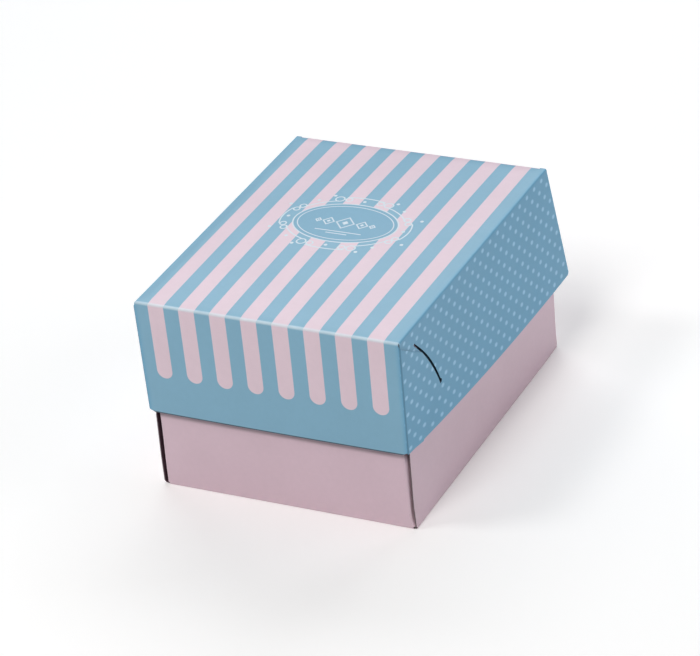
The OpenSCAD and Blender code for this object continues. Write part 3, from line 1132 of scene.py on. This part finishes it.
def base_flaps():
    """The corner flaps of the front and back walls, inside the side walls, with their ears out."""
    inside = BASE_X - BOARD - PLAY
    for side, hand, other in ((1, "right", "left"), (-1, "left", "right")):
        piece = flap_sheet(
            f"tray_front_{hand}_flap", TRAY_LOCK, (TRAY_FOOT, TRAY_END - BOX_H),
            (-TRAY_DROP, -TRAY_DROP), FOLD_R + TRAY_RISE - BOX_H)

        # Painted shade on the left flap's printed face in the gap below the rim
        def shade_in_corner_gap(x, y, depth):
            before_slit = x > FOLD_R and beyond_slit(TRAY_LOCK, x, y) < 0
            return side < 0 and before_slit and y < -SKIRT and on_print(depth)

        ink(piece, "rim_shadowed", (FLAP_PRINT * MM, BOX_H), shade_in_corner_gap)

        def place(x, y, out):
            height = BOX_H + y
            in_by = corner_in(side, height)
            if x < FOLD_R:
                turn = math.pi / 4 * (1 + x / FOLD_R)
                reach = FOLD_R + out
                across = inside - in_by - FOLD_R + reach * math.sin(turn)
                ahead = FOLD_R - BASE_Y - end_bulge(height) - reach * math.cos(turn)
                return (side * across, ahead, height)
            near = 1 - smooth((x - FOLD_R) / CORNER_RUN)
            layer = layer_at(TRAY_LOCK, x, y, -BOARD - PLAY, BOARD + PLAY) - in_by * near
            bow = wall_bow((x - BASE_Y) / BASE_Y, height - FOLD_R, WALL_TOP - FOLD_R)
            across = BASE_X + layer + out + bow * smooth(x / TRAY_LOCK["s"])
            return (side * across, x - BASE_Y - end_bulge(height) * near, height)

        if side < 0:
            piece.data.flip_normals()
        lay(piece, place, "base", [f"base_front_{hand}_flap"])
        back = mirrored(
            piece, f"tray_back_{other}_flap", (-1, -1, 1), "base", [f"base_back_{other}_flap"])
        back.data.materials[0] = PRINT["pink"][0]


def hinge_strip():
    """The crease between the back wall and the lid."""
    leg = BOX_H - FOLD_R - BACK_TOP
    arm = BASE_Y - FOLD_R - NOTCH_Y
    wrap = 2 * FOLD_R
    rows = joined([-leg, 0], fold_stations(0, wrap), [wrap, wrap + arm])
    piece = board("hinge_crease_strip", stations(-WALL_HALF, WALL_HALF), rows)
    thicken(piece)
    ink(piece, "pink")

    def place(x, y, out):
        if y < 0:
            return (-x, BASE_Y + out, BOX_H - FOLD_R + y)
        turn = min(y / wrap, 1.0) * math.pi / 2
        over = max(0.0, y - wrap)
        reach = FOLD_R + out
        behind = BASE_Y - FOLD_R + reach * math.cos(turn) - over
        return (-x, behind, BOX_H - FOLD_R + reach * math.sin(turn))

    lay(piece, place, None, ["hinge_crease"])
    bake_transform(piece)


# The studio

FLOOR_SIZE = 6
FLOOR_GLOW = 0.13
AIR_GLOW = 0.06
BOX_MIDDLE = (0, 0, 0.05)
# Each light's name, place, size, power in watts and colour
LIGHTS = (
    ("front_softbox", (0.05, -0.8, 1.15), (0.5, 0.5), 8.0, (1, 0.985, 0.97)),
    ("rear_softbox", (-0.3, 0.95, 1.0), (1.6, 0.7), 10.8, (0.93, 0.97, 1)),
    ("side_softbox", (1.2, 0.45, 0.7), (1.0, 1.0), 4.3, (0.94, 0.96, 1)),
    ("fold_glint", (-0.62, -0.42, 1.25), (0.3, 0.3), 3.6, (1, 1, 1)),
)

# The camera: its direction from the box, its turn about its own axis, its distance and shift from
# the point it aims at, and its lens in pixels of the photograph's frame
AZIMUTH = math.radians(29.6803)
ELEVATION = math.radians(30.5939)
ROLL = math.radians(-7.1790)
CAMERA_FAR = 1.44976
CAMERA_SHIFT = (-2.638 * MM, -0.624 * MM)
AIM_HEIGHT = 0.045
FOCAL_PX = 3330.05
FRAME_PX = 700
SENSOR = 36
CLIP_NEAR = 0.05


def floor():
    deselect_all()
    bpy.ops.mesh.primitive_plane_add(size=FLOOR_SIZE, location=(0, 0, 0))
    ground = bpy.context.object
    ground.name = "studio_floor"
    finish = Finish("studio_floor")
    finish.surface(linear(253, 252, 251), 0.9)
    finish.shader.inputs["Emission Color"].default_value = (1, 0.985, 0.97, 1)
    finish.shader.inputs["Emission Strength"].default_value = FLOOR_GLOW
    ground.data.materials.append(finish.material)


def placed(name, data):
    """An object that holds a light or a camera."""
    holder = bpy.data.objects.new(name, data)
    bpy.context.scene.collection.objects.link(holder)
    return holder


def light(name, place, size, power, colour):
    lamp = bpy.data.lights.new(name, "AREA")
    lamp.shape = "RECTANGLE"
    lamp.size, lamp.size_y = size
    lamp.energy = power
    lamp.color = colour
    holder = placed(name, lamp)
    holder.location = place
    towards = Vector(BOX_MIDDLE) - Vector(place)
    holder.rotation_euler = towards.to_track_quat("-Z", "Y").to_euler()


def studio():
    world = bpy.data.worlds.new("studio_air")
    world.use_nodes = True
    air = world.node_tree.nodes["Background"]
    air.inputs["Color"].default_value = (0.95, 0.98, 1, 1)
    air.inputs["Strength"].default_value = AIR_GLOW
    bpy.context.scene.world = world
    for settings in LIGHTS:
        light(*settings)


def camera():
    flat = math.cos(ELEVATION)
    back = Vector((
        math.sin(AZIMUTH) * flat, -math.cos(AZIMUTH) * flat, math.sin(ELEVATION)))
    level = Vector((0, 0, 1)).cross(back).normalized()
    upright = back.cross(level)
    right = level * math.cos(ROLL) + upright * math.sin(ROLL)
    up = upright * math.cos(ROLL) - level * math.sin(ROLL)
    lens = bpy.data.cameras.new("photo_camera")
    lens.sensor_width = SENSOR
    lens.lens = FOCAL_PX / FRAME_PX * SENSOR
    lens.clip_start = CLIP_NEAR
    holder = placed("photo_camera", lens)
    aim = Vector((0, 0, AIM_HEIGHT))
    spot = back * CAMERA_FAR + right * CAMERA_SHIFT[0] + up * CAMERA_SHIFT[1] + aim
    turned = Matrix((right, up, back)).transposed().to_4x4()
    holder.matrix_world = Matrix.Translation(spot) @ turned
    bpy.context.scene.camera = holder


base_bottom()
base_ends()
base_sides()
base_flaps()
hinge_strip()
lid_top()
lid_front()
lid_sides()
lid_flaps()
floor()
studio()
camera()
bpy.context.scene.view_settings.view_transform = "Standard"
